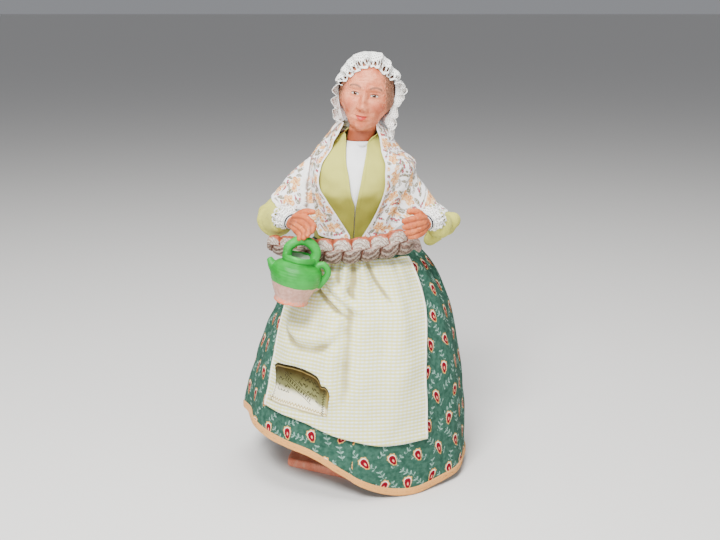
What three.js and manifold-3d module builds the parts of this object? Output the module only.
// Dressed Provençal santon: an old woman with a garlic braid and a jug.
// Millimetres, +Z up. She faces -Y and the origin is on the underside of
// the base slab, straight below the middle of her waist.
// Left and right are the viewer's. Angles round the body are in degrees,
// 0 in front, positive towards +X, 180 at the back.
import * as THREE from 'three';
import { mergeVertices } from 'three/addons/utils/BufferGeometryUtils.js';
import Module from 'manifold-3d';

const wasm = await Module();
wasm.setup();

// Driving dimensions
const FIGURE_HEIGHT = 300;      // slab underside to the top of the lace
const FIT = 0.35;               // gap between pieces that touch
const SLAB_THICKNESS = 6;
const SLAB_EDGE_ROUND = 1.2;
const SLAB_FRONT_LEFT = [-49.5, -20];
const SLAB_FRONT_RIGHT = [9, -52];
const SLAB_BACK_RIGHT = [36, 9];
const SLAB_BACK_LEFT = [-42, 31];
const BODY_SINK = 1;            // how far the moulded body runs into the slab
const SKIRT_CLOTH = 0.8;
const APRON_CLOTH = 0.7;
const JACKET_CLOTH = 0.9;
const SHAWL_CLOTH = 0.8;
const SHAWL_EASE = 0.7;         // air between the shawl and what it lies on
const APRON_EASE = 0.6;         // air between the apron and the skirt
const CAP_EASE = 0.9;           // air between the cap and the head
const JACKET_EASE = 0.45;       // air between the jacket and the blouse
const BONNET_CLOTH = 0.7;
const LACE_THICKNESS = 0.7;
const LACE_WIDTH = 9.5;
const BINDING_WIDTH = 4.5;
const BINDING_THICKNESS = 1.6;
const LABEL_THICKNESS = 0.4;
const LABEL_WIDTH_ANGLE = 35;
const LABEL_HEIGHT = 22;
const LABEL_ARCH = 5;
const CUFF_THICKNESS = 1.6;
const CUFF_LENGTH = 8.5;
const WRIST_RADIUS = 4.6;
const WIRE_RADIUS = 0.45;
const JUG_WALL = 2;
const HOOP_RADIUS = 2.9;        // half thickness of the hoop handle
const EAR_RADIUS = 2.1;         // half thickness of the side handle

// Free forms are written for a figure 300 mm tall and follow its height.
const S = FIGURE_HEIGHT / 300;
const WAIST_Z = 168 * S;
const at = (x, y, z) => new THREE.Vector3(x * S, y * S, z * S);
const radians = THREE.MathUtils.degToRad;
const mix = THREE.MathUtils.lerp;
const sizes = (list) => list.map((value) => value * S);

// Smooth curve through [place, value] pairs, flat beyond both ends.
function through(pairs) {
  const last = pairs.length - 1;
  const slope = (i) => {
    const a = pairs[Math.max(i - 1, 0)];
    const b = pairs[Math.min(i + 1, last)];
    return (b[1] - a[1]) / (b[0] - a[0]);
  };
  return (place) => {
    if (place <= pairs[0][0]) return pairs[0][1];
    if (place >= pairs[last][0]) return pairs[last][1];
    const i = pairs.findIndex((pair) => pair[0] > place) - 1;
    const width = pairs[i + 1][0] - pairs[i][0];
    const t = (place - pairs[i][0]) / width;
    const start = (2 * t ** 3 - 3 * t ** 2 + 1) * pairs[i][1] + (t ** 3 - 2 * t ** 2 + t) * width * slope(i);
    const end = (3 * t ** 2 - 2 * t ** 3) * pairs[i + 1][1] + (t ** 3 - t ** 2) * width * slope(i + 1);
    return start + end;
  };
}

// The same for a shape of the figure: heights and values are both sizes of hers.
const shape = (pairs) => {
  const curve = through(pairs);
  return (height) => curve(height / S) * S;
};
const angleAt = (pairs) => {
  const curve = through(pairs);
  return (height) => radians(curve(height / S));
};

// Closed geometry from triangles of points, turned to face outwards.
function closedBody(triangles) {
  const positions = triangles.flatMap((triangle) => triangle.flatMap((p) => p.toArray()));
  const soup = new THREE.BufferGeometry();
  soup.setAttribute('position', new THREE.Float32BufferAttribute(positions, 3));
  const merged = mergeVertices(soup, 1e-3);
  const index = [];
  let volume = 0;
  const corner = (k) => new THREE.Vector3().fromBufferAttribute(merged.attributes.position, k);
  for (let i = 0; i < merged.index.count; i += 3) {
    const [a, b, c] = [0, 1, 2].map((k) => merged.index.getX(i + k));
    if (a === b || b === c || c === a) continue;
    index.push(a, b, c);
    volume += corner(a).dot(corner(b).cross(corner(c)));
  }
  merged.setIndex(volume < 0 ? index.reverse() : index);
  return merged;
}

function quad(a, b, c, d) {
  return [[a, b, c], [a, c, d]];
}

// Solid through stacked rings of points, closed by a fan at each end.
function ringBody(rings) {
  const triangles = [];
  const count = rings[0].length;
  for (let j = 0; j + 1 < rings.length; j++) {
    for (let i = 0; i < count; i++) {
      const next = (i + 1) % count;
      triangles.push(...quad(rings[j][i], rings[j][next], rings[j + 1][next], rings[j + 1][i]));
    }
  }
  for (const [ring, flip] of [[rings[0], true], [rings[rings.length - 1], false]]) {
    const middle = ring.reduce((sum, p) => sum.add(p), new THREE.Vector3()).divideScalar(count);
    for (let i = 0; i < count; i++) {
      const next = (i + 1) % count;
      triangles.push(flip ? [middle, ring[next], ring[i]] : [middle, ring[i], ring[next]]);
    }
  }
  return closedBody(triangles);
}

// Cloth of true thickness between two surfaces pointAt(u, v), a strip or a closed ring in u.
function clothBody(outerAt, innerAt, columns, rows, isRing = false) {
  const grid = (pointAt) => Array.from({ length: rows + 1 }, (_, j) =>
    Array.from({ length: columns + 1 }, (_, i) => pointAt(isRing && i === columns ? 0 : i / columns, j / rows)));
  const outer = grid(outerAt);
  const inner = grid(innerAt);
  const triangles = [];
  for (let j = 0; j < rows; j++) {
    for (let i = 0; i < columns; i++) {
      triangles.push(...quad(outer[j][i], outer[j][i + 1], outer[j + 1][i + 1], outer[j + 1][i]));
      triangles.push(...quad(inner[j][i], inner[j + 1][i], inner[j + 1][i + 1], inner[j][i + 1]));
    }
  }
  for (let i = 0; i < columns; i++) {
    triangles.push(...quad(outer[0][i], inner[0][i], inner[0][i + 1], outer[0][i + 1]));
    triangles.push(...quad(outer[rows][i], outer[rows][i + 1], inner[rows][i + 1], inner[rows][i]));
  }
  for (let j = 0; j < rows && !isRing; j++) {
    triangles.push(...quad(outer[j][0], outer[j + 1][0], inner[j + 1][0], inner[j][0]));
    triangles.push(...quad(outer[j][columns], inner[j][columns], inner[j + 1][columns], outer[j + 1][columns]));
  }
  return closedBody(triangles);
}

// Round limb along points with a radius at each, its two ends rounded over.
function limb(points, radii, sides, stations = points.length * 2 - 1) {
  const curve = new THREE.CatmullRomCurve3(points);
  const radiusAt = through(radii.map((radius, i) => [i / (radii.length - 1), radius]));
  const frames = curve.computeFrenetFrames(stations - 1, false);
  const ringAt = (k, radius, shift) => Array.from({ length: sides }, (_, i) => {
    const angle = (i / sides) * 2 * Math.PI;
    return curve.getPoint(k / (stations - 1))
      .addScaledVector(frames.tangents[k], shift)
      .addScaledVector(frames.normals[k], radius * Math.cos(angle))
      .addScaledVector(frames.binormals[k], radius * Math.sin(angle));
  });
  const endRound = (k, sign) => {
    const radius = radiusAt(k / (stations - 1));
    return ringAt(k, radius * 0.62, sign * radius * 0.7);
  };
  const rings = [endRound(0, -1)];
  for (let k = 0; k < stations; k++) rings.push(ringAt(k, radiusAt(k / (stations - 1)), 0));
  rings.push(endRound(stations - 1, 1));
  return ringBody(rings);
}

// Joining and cutting.
function toSolid(geometry) {
  const vertProperties = Float32Array.from(geometry.attributes.position.array);
  const triVerts = Uint32Array.from(geometry.index.array);
  return new wasm.Manifold(new wasm.Mesh({ numProp: 3, vertProperties, triVerts }));
}

function toGeometry(solid) {
  const mesh = solid.getMesh();
  const geometry = new THREE.BufferGeometry();
  geometry.setAttribute('position', new THREE.BufferAttribute(mesh.vertProperties, 3));
  geometry.setIndex(new THREE.BufferAttribute(mesh.triVerts, 1));
  return geometry;
}

const joined = (geometries) => geometries.map(toSolid).reduce((sum, solid) => sum.add(solid));
const cutBy = (solid, tools) => tools.map(toSolid).reduce((rest, tool) => rest.subtract(tool), solid);

function bare(geometry) {
  geometry.deleteAttribute('normal');
  geometry.deleteAttribute('uv');
  return mergeVertices(geometry, 1e-3);
}

// Chest and shoulders: an oval at every height, fuller in front.
const chestHalfWidth = shape([[168, 26], [185, 27.5], [205, 30], [222, 30], [232, 22], [238, 15], [243, 14.6]]);
const chestFront = shape([[168, 20], [185, 24], [205, 28], [222, 24], [232, 17], [238, 13.4], [243, 13.6]]);
const chestBack = shape([[168, 18], [190, 19], [210, 20], [225, 18.5], [234, 15], [243, 12.5]]);
const chestLevels = [180, 193, 206, 218, 226, 232, 238].map((z) => z * S);
const bodyLean = shape([[168, 0], [243, 4]]);

function chestRadius(angle, z) {
  const depth = Math.cos(angle) > 0 ? chestFront(z) : chestBack(z);
  return 1 / Math.hypot(Math.sin(angle) / chestHalfWidth(z), Math.cos(angle) / depth);
}

function polar(angle, radius, z) {
  return new THREE.Vector3(bodyLean(z) + radius * Math.sin(angle), -radius * Math.cos(angle), z);
}

// Neck, arms and hands are limbs along the pose of the figure.
const NECK = { points: [at(3.2, -3, 228), at(5.5, -4, 240), at(8.6, -4.5, 254)], radii: sizes([9.8, 9.4, 9.2]) };
const ARM_LEFT = {
  points: [at(-20, 2, 226), at(-40, 0, 204), at(-54, -6, 184.5), at(-50.5, -26, 184)],
  radii: sizes([9.5, 9.5, 12.3, 8.6]),
};
const ARM_RIGHT = {
  points: [at(25, 2, 228), at(46, 0, 206), at(64, -5, 183.5), at(59.8, -26, 181)],
  radii: sizes([9.5, 9.8, 11.6, 11]),
};
const WRIST_LEFT = { start: at(-49.6, -29.5, 184.6), end: at(-46.2, -38.5, 185.4) };
const WRIST_RIGHT = { start: at(59.2, -29.5, 184), end: at(55.8, -38.8, 186.4) };

function neckBody(grow) {
  return limb(NECK.points, NECK.radii.map((radius) => radius + grow), 12);
}

// Upper arm and forearm, joined at the elbow.
function armBody(arm, grow) {
  const radii = arm.radii.map((radius) => radius + grow);
  const upper = limb(arm.points.slice(0, 3), radii.slice(0, 3), 9, 4);
  const lower = limb(arm.points.slice(2), radii.slice(2), 9, 2);
  return joined([upper, lower]);
}

function chestBody(grow, bottom, columns) {
  const rings = [bottom, ...chestLevels].map((z) => Array.from({ length: columns }, (_, i) => {
    const angle = (i / columns) * 2 * Math.PI;
    return polar(angle, chestRadius(angle, z) + grow, z);
  }));
  return ringBody(rings);
}

function blouse() {
  const chest = toSolid(chestBody(0, WAIST_Z + FIT, 18));
  return toGeometry(cutBy(chest, [neckBody(FIT)]));
}

// Olive jacket: open in a deep V, its two fronts meeting below it.
const jacketEdgeLeft = angleAt([[195, 0.3], [207, -7.4], [223, -15], [236, -29], [242, -46]]);
const jacketEdgeRight = angleAt([[195, 1.7], [210, 4.8], [224, 13.6], [236, 29], [242, 46]]);
const JACKET_INSIDE = FIT + JACKET_EASE;
const JACKET_OUTSIDE = JACKET_INSIDE + JACKET_CLOTH;
const JACKET_TOP = 241 * S;

function jacket() {
  const levels = [WAIST_Z + FIT, ...chestLevels, JACKET_TOP];
  const surface = (offset) => (u, v) => {
    const z = levels[Math.round(v * (levels.length - 1))];
    const angle = mix(jacketEdgeRight(z), 2 * Math.PI + jacketEdgeLeft(z), u);
    return polar(angle, chestRadius(angle, z) + offset, z);
  };
  return clothBody(surface(JACKET_OUTSIDE), surface(JACKET_INSIDE), 22, levels.length - 1);
}

function sleeve(arm, wrist) {
  const inside = chestBody(JACKET_OUTSIDE + FIT + JACKET_EASE, WAIST_Z - 5 * S, 22);
  const room = limb([wrist.start, wrist.end], Array(2).fill(WRIST_RADIUS + CUFF_THICKNESS + 3 * FIT), 14);
  return toGeometry(cutBy(armBody(arm, 0), [inside, room]));
}

// Lace cuff: a short ring round each wrist.
function cuff(wrist) {
  const bore = WRIST_RADIUS + FIT;
  const along = wrist.end.clone().sub(wrist.start).normalize();
  const flare = 0.6 * S;
  const profile = [
    new THREE.Vector2(bore, 0),
    new THREE.Vector2(bore + CUFF_THICKNESS, 0),
    new THREE.Vector2(bore + CUFF_THICKNESS + flare, CUFF_LENGTH * 0.6),
    new THREE.Vector2(bore + CUFF_THICKNESS, CUFF_LENGTH),
    new THREE.Vector2(bore, CUFF_LENGTH),
    new THREE.Vector2(bore, 0),
  ];
  const geometry = bare(new THREE.LatheGeometry(profile, 12));
  const turn = new THREE.Quaternion().setFromUnitVectors(new THREE.Vector3(0, 1, 0), along);
  geometry.applyQuaternion(turn).translate(...wrist.start.toArray());
  return geometry;
}

function wristWire(wrist) {
  const along = wrist.end.clone().sub(wrist.start).normalize();
  const geometry = bare(new THREE.TorusGeometry(WRIST_RADIUS + WIRE_RADIUS + FIT, WIRE_RADIUS, 4, 12));
  const turn = new THREE.Quaternion().setFromUnitVectors(new THREE.Vector3(0, 0, 1), along);
  const place = wrist.start.clone().addScaledVector(along, CUFF_LENGTH + WIRE_RADIUS + FIT);
  geometry.applyQuaternion(turn).translate(...place.toArray());
  return geometry;
}

// Each finger runs from the wrist over its knuckle to the tip.
const FINGERS_RIGHT = [
  [at(53, -43, 188.8), at(47.5, -48.5, 191), at(40, -51.5, 190.8), at(34.6, -51, 189.6)],
  [at(53.5, -43, 187.4), at(48.5, -49.5, 187.6), at(40, -53, 187), at(35, -52.5, 185.6)],
  [at(54, -43, 186), at(49.5, -49.5, 184.2), at(41.5, -53, 183), at(37, -52.5, 182)],
  [at(54.3, -42.5, 184.8), at(50.5, -48.5, 181.2), at(44, -51.8, 179.8), at(39.6, -51.5, 179)],
];
const THUMB_RIGHT = [at(52.5, -42.5, 190), at(46.5, -45.5, 194), at(38.8, -48.5, 195.4)];
const FINGERS_LEFT = [
  [at(-42, -44, 188.5), at(-32.5, -51.5, 190), at(-27.5, -59.5, 184), at(-28, -62.5, 180)],
  [at(-42.5, -44, 187.2), at(-35.5, -52.5, 188), at(-30.8, -61.5, 182), at(-31, -64, 178.8)],
  [at(-43, -44, 185.8), at(-38.5, -52, 186.5), at(-34, -61.3, 181.2), at(-34, -64, 178.6)],
  [at(-43.5, -43.5, 184.6), at(-40.5, -50, 184.5), at(-36.8, -59.5, 181), at(-36.8, -62.5, 179.4)],
];
const THUMB_LEFT = [at(-41, -43.5, 190.5), at(-35, -47, 194), at(-27.5, -50, 195)];

function hand(wrist, fingers, thumb, obstacles) {
  const fingerRadii = sizes([3.3, 3, 2.5, 2]);
  const stub = limb([wrist.start, wrist.end], Array(2).fill(WRIST_RADIUS), 10, 2);
  const palm = limb([wrist.end, fingers[1][0].clone().lerp(fingers[2][1], 0.5)], [WRIST_RADIUS, 3.6 * S], 8, 2);
  const parts = [stub, palm, limb(thumb, sizes([2.8, 2.5, 1.8]), 6, 4)];
  for (const finger of fingers) parts.push(limb(finger, fingerRadii, 5, 4));
  return toGeometry(cutBy(joined(parts), obstacles));
}

// Head: a rounded block given by its radius in every direction of its own frame.
const HEAD_CENTRE = at(9.8, -3, 271.2);
const HEAD_TURN = new THREE.Matrix4().makeRotationFromEuler(
  new THREE.Euler(radians(3), radians(9), radians(-5), 'ZYX'));
const HEAD_HALF_WIDTH = 18.2 * S;
const HEAD_HALF_DEPTH = 20 * S;
const HEAD_HALF_HEIGHT = 25 * S;
// Forms of the face: place across and up, half width and half height, how far it stands out.
const FACE_FORMS = [
  [0, 0, 1.7, 4.5, 2.4], [0, -6.6, 2.4, 2.6, 3.6],
  [-7.2, 1.4, 3.4, 2.4, -1.9], [7.2, 1.4, 3.4, 2.4, -1.9],
  [-6.8, 5.6, 4.6, 1.7, 0.8], [6.8, 5.6, 4.6, 1.7, 0.8],
  [-9, -6.5, 3.8, 3.6, 1.2], [9, -6.5, 3.8, 3.6, 1.2],
  [0, -13.2, 3.8, 1.5, 1.2], [0, -16.8, 4.5, 1.2, -0.8], [0, -20.5, 4.6, 2.6, 1.6],
];

function headRadius(direction) {
  const jaw = THREE.MathUtils.smoothstep(-direction.z, 0.1, 0.95);
  const halfWidth = HEAD_HALF_WIDTH * (1 - 0.24 * jaw);
  const base = 1 / Math.hypot(direction.x / halfWidth, direction.y / HEAD_HALF_DEPTH, direction.z / HEAD_HALF_HEIGHT);
  if (direction.y > 0) return base;
  let relief = 0;
  for (const [x, z, wide, high, out] of FACE_FORMS) {
    const across = (direction.x * base / S - x) / wide;
    const up = (direction.z * base / S - z) / high;
    relief += out * Math.exp(-0.5 * (across ** 2 + up ** 2));
  }
  return base + relief * S * THREE.MathUtils.smoothstep(-direction.y, 0, 0.35);
}

function headPoint(direction, offset = 0) {
  return direction.clone().multiplyScalar(headRadius(direction) + offset).applyMatrix4(HEAD_TURN).add(HEAD_CENTRE);
}

function head() {
  const columns = 20;
  const rows = 15;
  const rings = [];
  for (let j = 1; j < rows; j++) {
    const up = mix(-Math.PI / 2, Math.PI / 2, j / rows);
    rings.push(Array.from({ length: columns }, (_, i) => {
      const even = (i / columns) * 2 * Math.PI;
      const round = even - 0.5 * Math.sin(even);
      return headPoint(new THREE.Vector3(
        Math.sin(round) * Math.cos(up), -Math.cos(round) * Math.cos(up), Math.sin(up)));
    }));
  }
  const skull = ringBody(rings);
  return toGeometry(joined([skull, neckBody(0)]));
}

// Cap and lace are laid over the head, by the angle from a pole behind the crown.
const CAP_POLE = new THREE.Vector3(0, Math.cos(radians(22)), Math.sin(radians(22)));
const CAP_UP = new THREE.Vector3(0, -Math.sin(radians(22)), Math.cos(radians(22)));
const CAP_SIDE = new THREE.Vector3(1, 0, 0);
const capReach = through([[0, 90], [60, 92], [115, 97], [142, 82], [180, 60]]);
const LACE_END = 134;
const LACE_FOLDS = 12;
const CAP_INSIDE = FIT + CAP_EASE;

function capDirection(round, reach) {
  return CAP_POLE.clone().multiplyScalar(Math.cos(reach))
    .addScaledVector(CAP_UP, Math.sin(reach) * Math.cos(round))
    .addScaledVector(CAP_SIDE, Math.sin(reach) * Math.sin(round));
}

function bonnet() {
  const surface = (offset) => (u, v) => {
    const round = u * 2 * Math.PI;
    const side = u < 0.5 ? u * 360 : 360 - u * 360;
    const reach = radians(capReach(side)) * mix(0.04, 1, v);
    return headPoint(capDirection(round, reach), offset);
  };
  return clothBody(surface(CAP_INSIDE + BONNET_CLOTH), surface(CAP_INSIDE), 16, 5, true);
}

// Lace: a gathered strip from the edge of the cap over the hair, its folds standing out.
function laceRuffle() {
  const surface = (offset) => (u, v) => {
    const side = mix(-LACE_END, LACE_END, u);
    const edge = radians(capReach(Math.abs(side)));
    const reach = edge + (FIT + v * LACE_WIDTH) / (22 * S);
    const wave = 0.5 + 0.5 * Math.cos(u * LACE_FOLDS * 2 * Math.PI);
    const stand = S * (1.6 + 3.4 * wave * Math.sin(Math.PI * Math.min(0.25 + v * 0.6, 1)));
    return headPoint(capDirection(radians(side), reach), CAP_INSIDE + stand + offset);
  };
  return clothBody(surface(LACE_THICKNESS), surface(0), 48, 2);
}

// Skirt: gathered at the waist, its hem an oval that dips to the front right.
const HEM_HALF_WIDTH = 83.7 * S;
const HEM_HALF_DEPTH = 77 * S;
const HEM_FORWARD = 3 * S;
const WAIST_HALF_WIDTH = 28.5 * S;
const WAIST_HALF_DEPTH = 21.5 * S;
const HEM_MEAN = 22.9 * S;
// Waves of the hem height: size, waves round the hem, phase in degrees.
const HEM_WAVES = [[20.8, 1, 16.3], [3.75, 2, 37], [2.2, 3, 34]];
// Folds of the skirt: depth, folds round the hem, phase in degrees.
const SKIRT_FOLDS = [[1.1, 7, 30], [0.7, 12, 80]];

function hemHeight(angle) {
  return HEM_MEAN - HEM_WAVES.reduce((sum, [size, count, phase]) =>
    sum + size * S * Math.sin(count * angle + radians(phase)), 0);
}

function skirtPoint(angle, z, offset) {
  const down = Math.max(1 - z / WAIST_Z, 0);
  const swell = 0.64 - 0.16 * Math.sin(angle);
  const spread = Math.sin((Math.PI / 2) * Math.min(down, 1) ** swell);
  const folds = SKIRT_FOLDS.reduce((sum, [depth, count, phase]) =>
    sum + depth * S * Math.sin(count * angle + radians(phase)), 0) * down;
  const halfWidth = mix(WAIST_HALF_WIDTH, HEM_HALF_WIDTH, spread) + folds + offset;
  const halfDepth = mix(WAIST_HALF_DEPTH, HEM_HALF_DEPTH, spread) + folds + offset;
  return new THREE.Vector3(halfWidth * Math.sin(angle), -HEM_FORWARD * down - halfDepth * Math.cos(angle), z);
}

function skirt() {
  const surface = (offset) => (u, v) => {
    const angle = u * 2 * Math.PI;
    return skirtPoint(angle, mix(WAIST_Z, hemHeight(angle) + BINDING_WIDTH + FIT, v ** 1.35), offset);
  };
  return clothBody(surface(0), surface(-SKIRT_CLOTH), 34, 6, true);
}

function hemBinding() {
  const surface = (offset) => (u, v) => {
    const angle = u * 2 * Math.PI;
    return skirtPoint(angle, hemHeight(angle) + BINDING_WIDTH * v, offset);
  };
  const proud = (BINDING_THICKNESS - SKIRT_CLOTH) / 2;
  return clothBody(surface(proud), surface(proud - BINDING_THICKNESS), 34, 1, true);
}

// Apron: gathered under the braid, lying over the front of the skirt.
const apronLeft = angleAt([[40, -50], [98, -53], [125, -58], [160, -62]]);
const apronRight = angleAt([[40, 38.5], [88, 39.5], [110, 43.6], [128, 47.5], [160, 51]]);
const apronBottom = through([[-50, 59.5], [-26, 54.5], [-6, 46], [12, 40.2], [25, 39.2], [38, 40]]);
const APRON_TOP = 160 * S;
const APRON_INSIDE = FIT + APRON_EASE;
const APRON_OUTSIDE = APRON_INSIDE + APRON_CLOTH;

function apron() {
  const surface = (offset) => (u, v) => {
    const bottom = apronBottom(mix(-50, 38.5, u)) * S;
    const z = mix(APRON_TOP, bottom, v ** 1.4);
    return skirtPoint(mix(apronLeft(z), apronRight(z), u), z, offset);
  };
  return clothBody(surface(APRON_OUTSIDE), surface(APRON_INSIDE), 12, 5);
}

// Foil label near the apron's lower left corner, with an arched top.
const LABEL_LEFT_ANGLE = -46.5;
const LABEL_LEFT_Z = 66 * S;
const LABEL_SLOPE = 6 * S;

function goldLabel() {
  const surface = (offset) => (u, v) => {
    const foot = LABEL_LEFT_Z - LABEL_SLOPE * u;
    const height = LABEL_HEIGHT - LABEL_ARCH + LABEL_ARCH * Math.sin(Math.PI * u);
    const angle = radians(LABEL_LEFT_ANGLE + LABEL_WIDTH_ANGLE * u);
    return skirtPoint(angle, foot + height * v, APRON_OUTSIDE + FIT + offset);
  };
  return clothBody(surface(LABEL_THICKNESS), surface(0), 8, 2);
}

// Shawl: stretched over shoulders and upper arms, open in front in a V.
const shawlEdgeLeft = angleAt([[174, -5], [192, -31], [204, -45], [214, -48.5], [227, -51], [241, -62]]);
const shawlEdgeRight = angleAt([[174, 12.5], [191, 29], [203, 35], [214.5, 39], [229.5, 46], [241, 62]]);
const shawlTop = through([[0, 243], [70, 244], [180, 249], [290, 244], [360, 243]]);
const shawlBottom = through([[0, 171], [28, 175], [48, 191], [75, 190], [100, 184], [135, 172], [180, 162],
  [225, 176], [255, 194], [272, 203], [298, 200], [308, 197], [318, 179], [345, 171], [360, 171]]);
const SHAWL_COLUMNS = 34;
const SHAWL_ROWS = 6;
const SHAWL_SMOOTHING = 2;
const ELBOW_PLACE = 0.7;        // share of the arm above the elbow

// Outermost distance from the axis at which a level ray meets an upper arm, or 0.
function armReach(arm, grow, angle, z) {
  const curve = new THREE.CatmullRomCurve3(arm.points);
  const radiusAt = through(arm.radii.map((radius, i) => [i / (arm.radii.length - 1), radius + grow]));
  let reach = 0;
  for (let k = 0; k <= 24; k++) {
    const place = (k / 24) * ELBOW_PLACE;
    const centre = curve.getPoint(place);
    const radius = radiusAt(place);
    const x = centre.x - bodyLean(z);
    const along = x * Math.sin(angle) - centre.y * Math.cos(angle);
    const aside = x * Math.cos(angle) + centre.y * Math.sin(angle);
    const left = radius ** 2 - aside ** 2 - (centre.z - z) ** 2;
    if (left > 0) reach = Math.max(reach, along + Math.sqrt(left));
  }
  return reach;
}

function shawl() {
  const place = (i, j) => {
    const u = i / SHAWL_COLUMNS;
    const nominal = mix(12, 355, u);
    const z = mix(shawlTop(nominal), shawlBottom(nominal), j / SHAWL_ROWS) * S;
    return { z, angle: mix(shawlEdgeRight(z), 2 * Math.PI + shawlEdgeLeft(z), u) };
  };
  const air = FIT + SHAWL_EASE;
  const grid = (valueAt) => Array.from({ length: SHAWL_ROWS + 1 }, (_, j) =>
    Array.from({ length: SHAWL_COLUMNS + 1 }, (_, i) => valueAt(i, j)));
  const least = grid((i, j) => {
    const { z, angle } = place(i, j);
    const chest = chestRadius(angle, z) + JACKET_OUTSIDE + air;
    const skirtTop = z < WAIST_Z + 2 * S ? skirtPoint(angle, z - 2 * S, air + SKIRT_CLOTH) : new THREE.Vector3();
    const arms = [ARM_LEFT, ARM_RIGHT].map((arm) => armReach(arm, air + 1.8 * S, angle, z));
    return Math.max(chest, Math.hypot(skirtTop.x, skirtTop.y), ...arms);
  });
  let radius = least;
  for (let pass = 0; pass < SHAWL_SMOOTHING; pass++) {
    const now = radius;
    radius = grid((i, j) => {
      const near = [[i - 1, j], [i + 1, j], [i, j - 1], [i, j + 1]]
        .map(([a, b]) => now[Math.min(Math.max(b, 0), SHAWL_ROWS)][Math.min(Math.max(a, 0), SHAWL_COLUMNS)]);
      return Math.max(least[j][i], near.reduce((sum, r) => sum + r, 0) / 4);
    });
  }
  const surface = (offset) => (u, v) => {
    const i = Math.round(u * SHAWL_COLUMNS);
    const j = Math.round(v * SHAWL_ROWS);
    const { z, angle } = place(i, j);
    return polar(angle, radius[j][i] + offset, z);
  };
  const cloth = clothBody(surface(SHAWL_CLOTH), surface(0), SHAWL_COLUMNS, SHAWL_ROWS);
  const arms = armBody(ARM_LEFT, FIT).add(armBody(ARM_RIGHT, FIT));
  return toGeometry(toSolid(cloth).subtract(arms));
}

// Garlic braid: a thick crescent with two rows of bulbs.
const garlicHeight = shape([[-58, 166], [-12, 167.6], [32, 171.8], [50, 169]]);
const garlicHalfHeight = shape([[-60, 4], [-54, 6.2], [-12, 8.7], [32, 8], [44, 6], [50, 3]]);
const GARLIC_LEFT = -60 * S;
const GARLIC_RIGHT = 50 * S;
const BULB_PITCH = 11.8 * S;
const BULB_DEPTH = 1.5 * S;

function garlicPoint(u, round, offset) {
  const x = mix(GARLIC_LEFT, GARLIC_RIGHT, u);
  const bend = (x / S + 3) / 56;
  const centre = new THREE.Vector3(x, (-45 + 20 * bend ** 2) * S, garlicHeight(x));
  const outward = new THREE.Vector3(0.75 * bend, -1, 0).normalize();
  const half = garlicHalfHeight(x);
  const row = Math.sin(round) > 0.1 ? 0 : 0.5;
  const bulb = Math.abs(Math.sin(Math.PI * (x / BULB_PITCH + row + 0.25 * Math.sin(round))));
  const face = Math.max(Math.cos(round), 0);
  const groove = Math.exp(-(((round - 0.1) / 0.3) ** 2));
  const swell = BULB_DEPTH * (bulb ** 0.7 - 0.6) * Math.min(half / (8 * S), 1) * (0.3 + 0.7 * face) - groove * S;
  centre.addScaledVector(outward, (half * 0.82 + swell + offset) * Math.cos(round));
  centre.z += (half + swell + offset) * Math.sin(round);
  return centre;
}

function garlicBraid(offset = 0, columns = 42, sides = 8) {
  const rings = [];
  for (let j = 0; j <= columns; j++) {
    rings.push(Array.from({ length: sides }, (_, i) => {
      const round = -Math.PI + ((i + 0.5) / sides) * 2 * Math.PI;
      return garlicPoint(j / columns, round, offset);
    }));
  }
  return ringBody(rings);
}

// Jug: turned body with an open mouth, in a frame of its own along its axis.
const JUG_FOOT = at(-41.4, -60, 138);
const JUG_LEAN = radians(12);
const jugOutside = shape([[0, 11], [1.8, 11.6], [3.2, 11.1], [9, 13.8], [16, 16.3], [21, 15.8], [25, 13.2],
  [26.6, 11.5], [28.4, 12.5], [30.6, 11.6]]);
const JUG_HEIGHT = 30.6 * S;
const HOOP = [at(-9.4, 0, 27), at(-9.6, 0, 36), at(0, 0, 41.2), at(9.6, 0, 36), at(9.4, 0, 27)];
const EAR = [at(11.5, 0, 25.2), at(17, 0, 27.4), at(20.6, 0, 22.5), at(17.8, 0, 14.6), at(14, 0, 11.5)];
const SPOUT = [at(-12.5, 0, 17.5), at(-16.6, 0, 19.6), at(-19.8, 0, 22.6)];
const SPOUT_BORE = 0.9;

function jugFrame(geometry) {
  return geometry.rotateY(JUG_LEAN).translate(...JUG_FOOT.toArray());
}

function hoopHandle(grow) {
  return limb(HOOP, Array(HOOP.length).fill(HOOP_RADIUS + grow), 8, 7);
}

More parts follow.
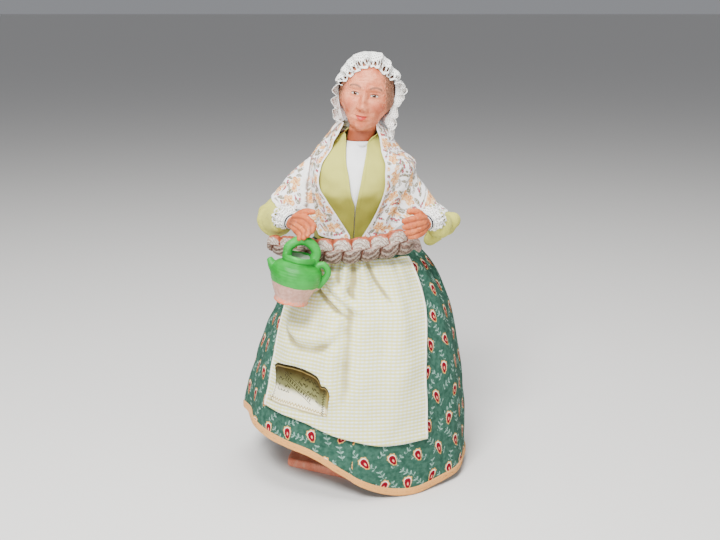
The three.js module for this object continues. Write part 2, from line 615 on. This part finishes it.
function jug() {
  const stations = [0, 1.8, 3.2, 9, 16, 21, 25, 26.6, 28.4, 30.6].map((z) => z * S);
  const outside = stations.map((z) => new THREE.Vector2(jugOutside(z), z));
  const inside = stations.filter((z, i) => z > JUG_WALL && i % 2 === 0)
    .map((z) => new THREE.Vector2(jugOutside(z) - JUG_WALL, z));
  const floor = new THREE.Vector2(inside[0].x - JUG_WALL / 2, JUG_WALL);
  const turned = (profile) => {
    const geometry = bare(new THREE.LatheGeometry(profile, 12));
    return geometry.rotateX(Math.PI / 2);
  };
  const top = new THREE.Vector2(0, JUG_HEIGHT);
  const body = turned([new THREE.Vector2(0, 0), ...outside, top]);
  const over = JUG_HEIGHT + JUG_WALL;
  const mouth = new THREE.Vector2(inside[inside.length - 1].x, over);
  const room = turned([new THREE.Vector2(0, JUG_WALL), floor, ...inside, mouth, new THREE.Vector2(0, over)]);
  const spout = limb(SPOUT, sizes([3.9, 2.8, 2]), 8, 3);
  const ear = limb(EAR, Array(EAR.length).fill(EAR_RADIUS), 6, 7);
  const outer = joined([facingOut(body), spout, ear, hoopHandle(0)]);
  const bore = limb([SPOUT[0], SPOUT[1], SPOUT[2].clone().lerp(SPOUT[1], -0.9)], Array(3).fill(SPOUT_BORE * S), 6);
  const hollow = cutBy(outer, [facingOut(room), bore]);
  const hoopAbove = toSolid(hoopHandle(0)).subtract(toSolid(facingOut(body)));
  return jugFrame(toGeometry(hollow.add(hoopAbove)));
}

// Base slab with the plain moulded body that stands on it under the skirt.
const LOWER_BODY = [[0, 20], [60, 17], [110, 19], [150, 25], [168, 26]];
const LOWER_BODY_FLATNESS = 0.73;

function baseWithLowerBody() {
  const corners = [SLAB_FRONT_LEFT, SLAB_FRONT_RIGHT, SLAB_BACK_RIGHT, SLAB_BACK_LEFT];
  const outline = new THREE.Shape(corners.map(([x, y]) => new THREE.Vector2(x, y)));
  const slab = new THREE.ExtrudeGeometry(outline, {
    depth: SLAB_THICKNESS - 2 * SLAB_EDGE_ROUND,
    bevelThickness: SLAB_EDGE_ROUND,
    bevelSize: SLAB_EDGE_ROUND,
    bevelOffset: -SLAB_EDGE_ROUND,
    bevelSegments: 2,
  });
  slab.translate(0, 0, SLAB_EDGE_ROUND);
  const radiusAt = shape(LOWER_BODY);
  const rings = [];
  for (let j = 0; j <= 7; j++) {
    const z = mix(SLAB_THICKNESS - BODY_SINK, WAIST_Z, j / 7);
    rings.push(Array.from({ length: 16 }, (_, i) => {
      const angle = (i / 16) * 2 * Math.PI;
      return new THREE.Vector3(
        radiusAt(z) * Math.sin(angle), -radiusAt(z) * LOWER_BODY_FLATNESS * Math.cos(angle), z);
    }));
  }
  return toGeometry(joined([facingOut(bare(slab)), ringBody(rings)]));
}

// A turned or extruded geometry with its faces outwards.
function facingOut(geometry) {
  const corner = (k) => new THREE.Vector3().fromBufferAttribute(geometry.attributes.position, k);
  const triangles = [];
  for (let i = 0; i < geometry.index.count; i += 3) {
    triangles.push([0, 1, 2].map((k) => corner(geometry.index.getX(i + k))));
  }
  return closedBody(triangles);
}

const group = new THREE.Group();
function add(name, geometry, color, roughness, metalness = 0) {
  const material = new THREE.MeshStandardMaterial({ color, roughness, metalness });
  const mesh = new THREE.Mesh(geometry, material);
  mesh.name = name;
  group.add(mesh);
}

const TERRACOTTA = '#c8855f';
const SKIN = '#cf8a66';
const OLIVE = '#b9b57b';
const WHITE_COTTON = '#eeeef0';
const braidRoom = garlicBraid(FIT);
const hoopRoom = jugFrame(hoopHandle(FIT));

add('base_with_lower_body', baseWithLowerBody(), TERRACOTTA, 0.85);
add('blouse', blouse(), WHITE_COTTON, 0.9);
add('jacket', jacket(), OLIVE, 0.9);
add('sleeve_left', sleeve(ARM_LEFT, WRIST_LEFT), OLIVE, 0.9);
add('sleeve_right', sleeve(ARM_RIGHT, WRIST_RIGHT), OLIVE, 0.9);
add('cuff_left', cuff(WRIST_LEFT), WHITE_COTTON, 0.9);
add('cuff_right', cuff(WRIST_RIGHT), WHITE_COTTON, 0.9);
add('hand_left', hand(WRIST_LEFT, FINGERS_LEFT, THUMB_LEFT, [hoopRoom]), SKIN, 0.7);
add('hand_right', hand(WRIST_RIGHT, FINGERS_RIGHT, THUMB_RIGHT, [braidRoom]), SKIN, 0.7);
add('wrist_wire_left', wristWire(WRIST_LEFT), '#3a3a40', 0.4, 1);
add('wrist_wire_right', wristWire(WRIST_RIGHT), '#3a3a40', 0.4, 1);
add('head', head(), SKIN, 0.7);
add('bonnet', bonnet(), WHITE_COTTON, 0.9);
add('lace_ruffle', laceRuffle(), '#f4f1ea', 0.9);
add('shawl', shawl(), '#e6ddd2', 0.9);
add('garlic_braid', garlicBraid(), '#b7a89a', 0.75);
add('jug', jug(), '#5fb964', 0.45);
add('apron', apron(), '#e4dfc4', 0.9);
add('skirt', skirt(), '#50826a', 0.9);
add('hem_binding', hemBinding(), '#e1b982', 0.9);
add('gold_label', goldLabel(), '#cdb060', 0.35, 0.8);

export default group;
